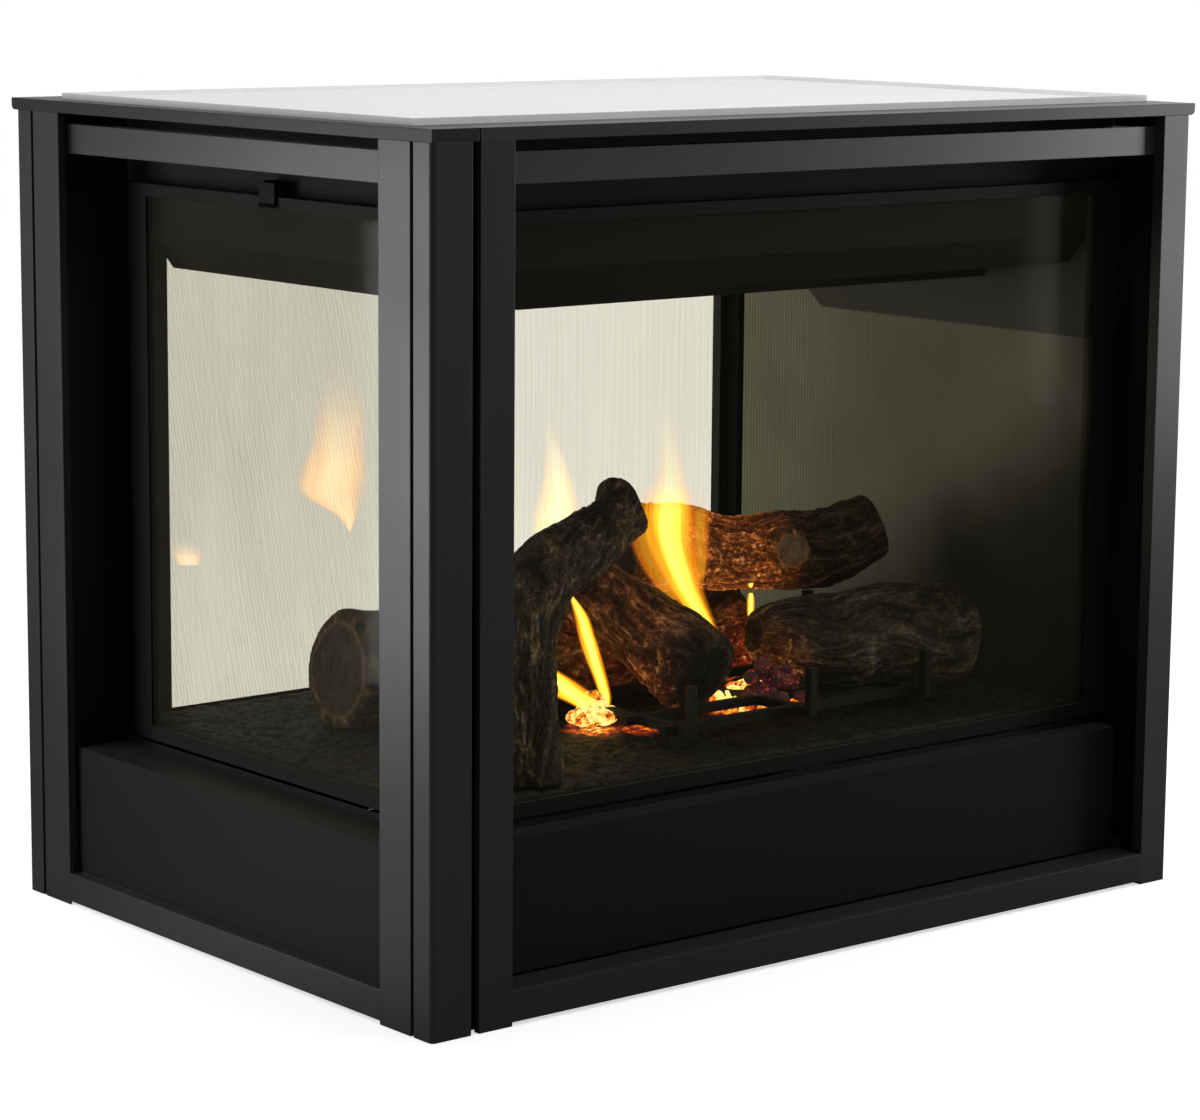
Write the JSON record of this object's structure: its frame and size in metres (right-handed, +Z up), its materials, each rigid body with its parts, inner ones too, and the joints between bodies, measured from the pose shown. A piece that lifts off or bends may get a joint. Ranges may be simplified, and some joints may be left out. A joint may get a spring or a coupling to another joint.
{
  "type": "multi-sided gas fireplace",
  "caption": "Peninsula gas fireplace with glass on the front, one end and the rear, drop-down access panels, glass latches and a log set on a grate over an ember bed.",
  "frame": {"origin": "centre of the whole box at floor level", "axes": "+X towards the solid vented end, -Y towards the viewer of the wide front, +Z up"},
  "size_m": [1.115, 0.776, 0.907],
  "materials": {
    "surround": "satin charcoal powder coat",
    "surround_dark": "matt black powder coat",
    "panel": "satin black powder coat",
    "glass_frame": "satin black high temperature paint",
    "glass": "clear ceramic glass",
    "gasket": "woven glass fibre rope",
    "latch": "dark plated steel",
    "firebox": "matt black high temperature paint",
    "liner": "gloss black enamel",
    "galvanised": "galvanised sheet",
    "burner": "aluminised steel",
    "embers": "dark broken lava stone",
    "grate": "matt black iron",
    "log": "charred bark of a moulded ceramic fibre log",
    "pilot": "stainless steel",
    "valve": "die cast",
    "knob": "satin moulded",
    "button": "gloss moulded",
    "pipe": "drawn brass",
    "handle": "yellow enamel"
  },
  "bodies": {
    "root": {"base_pan": "surround_dark", "front_left_post": "surround", "rear_left_post": "surround", "front_right_post": "surround", "rear_right_post": "surround", "front_stile": "surround", "rear_stile": "surround", "left_front_stile": "surround", "left_rear_stile": "surround", "front_cap": "surround", "left_cap": "surround", "rear_cap": "surround", "top_cover": "galvanised", "front_bar": "surround", "left_bar": "surround", "rear_bar": "surround", "front_rail": "surround", "left_rail": "surround", "rear_rail": "surround", "panel_brackets": "surround_dark", "front_glass_frame": "glass_frame", "left_glass_frame": "glass_frame", "rear_glass_frame": "glass_frame", "front_glass": "glass", "left_glass": "glass", "rear_glass": "glass", "glass_gaskets": "gasket", "firebox_floor": "firebox", "firebox_corners": "firebox", "firebox_roof": "firebox", "end_liner": "liner", "front_header": "firebox", "left_header": "firebox", "rear_header": "firebox", "baffle": "firebox", "end_casing": "galvanised", "vent_collars": "galvanised", "burner_tray": "burner", "burner_tube": "burner", "ember_bed": "embers", "grate": "grate", "branch_log": "log", "cross_log": "log", "back_log": "log", "right_log": "log", "left_log": "log", "pilot_assembly": "pilot", "gas_valve": "valve", "gas_line": "pipe"},
    "front_panel": {"front_panel": "panel"},
    "left_panel": {"left_panel": "panel"},
    "rear_panel": {"rear_panel": "panel"},
    "front_latch": {"front_latch": "latch"},
    "left_latch": {"left_latch": "latch"},
    "rear_latch": {"rear_latch": "latch"},
    "valve_stem": {"valve_stem": "pilot"},
    "gas_knob": {"gas_knob": "knob"},
    "flame_knob": {"flame_knob": "knob"},
    "igniter_button": {"igniter_button": "button"},
    "shutoff_handle": {"shutoff_handle": "handle"}
  },
  "joints": [
    {"name": "front_panel_hinge", "type": "hinge", "parent": "root", "child": "front_panel", "pos_m": [-0.025, -0.339, 0.042], "axis": [1, 0, 0], "range_deg": [0, 88]},
    {"name": "left_panel_hinge", "type": "hinge", "parent": "root", "child": "left_panel", "pos_m": [-0.5415, -0.005, 0.042], "axis": [0, -1, 0], "range_deg": [0, 88]},
    {"name": "rear_panel_hinge", "type": "hinge", "parent": "root", "child": "rear_panel", "pos_m": [-0.025, 0.329, 0.042], "axis": [-1, 0, 0], "range_deg": [0, 88]},
    {"name": "front_latch_turn", "type": "hinge", "parent": "root", "child": "front_latch", "pos_m": [-0.4215, -0.308, 0.823], "axis": [-1, 0, 0], "range_deg": [0, 80]},
    {"name": "left_latch_turn", "type": "hinge", "parent": "root", "child": "left_latch", "pos_m": [-0.4775, -0.005, 0.823], "axis": [0, 1, 0], "range_deg": [0, 80]},
    {"name": "rear_latch_turn", "type": "hinge", "parent": "root", "child": "rear_latch", "pos_m": [-0.4215, 0.298, 0.823], "axis": [1, 0, 0], "range_deg": [0, 80]},
    {"name": "valve_stem_press", "type": "slide", "parent": "root", "child": "valve_stem", "axis": [0, 1, 0], "range_m": [0, 0.003], "stiffness_N_per_m": 500, "springref_m": -0.004},
    {"name": "gas_knob_turn", "type": "hinge", "parent": "valve_stem", "child": "gas_knob", "pos_m": [-0.0255, -0.255, 0.094], "axis": [0, -1, 0], "range_deg": [0, 180]},
    {"name": "flame_knob_turn", "type": "hinge", "parent": "root", "child": "flame_knob", "pos_m": [0.0305, -0.255, 0.094], "axis": [0, -1, 0], "range_deg": [0, 120]},
    {"name": "igniter_press", "type": "slide", "parent": "root", "child": "igniter_button", "axis": [0, 1, 0], "range_m": [0, 0.005], "stiffness_N_per_m": 600, "springref_m": -0.003},
    {"name": "shutoff_turn", "type": "hinge", "parent": "root", "child": "shutoff_handle", "pos_m": [0.2125, -0.243, 0.094], "axis": [0, -1, 0], "range_deg": [0, 90]}
  ]
}
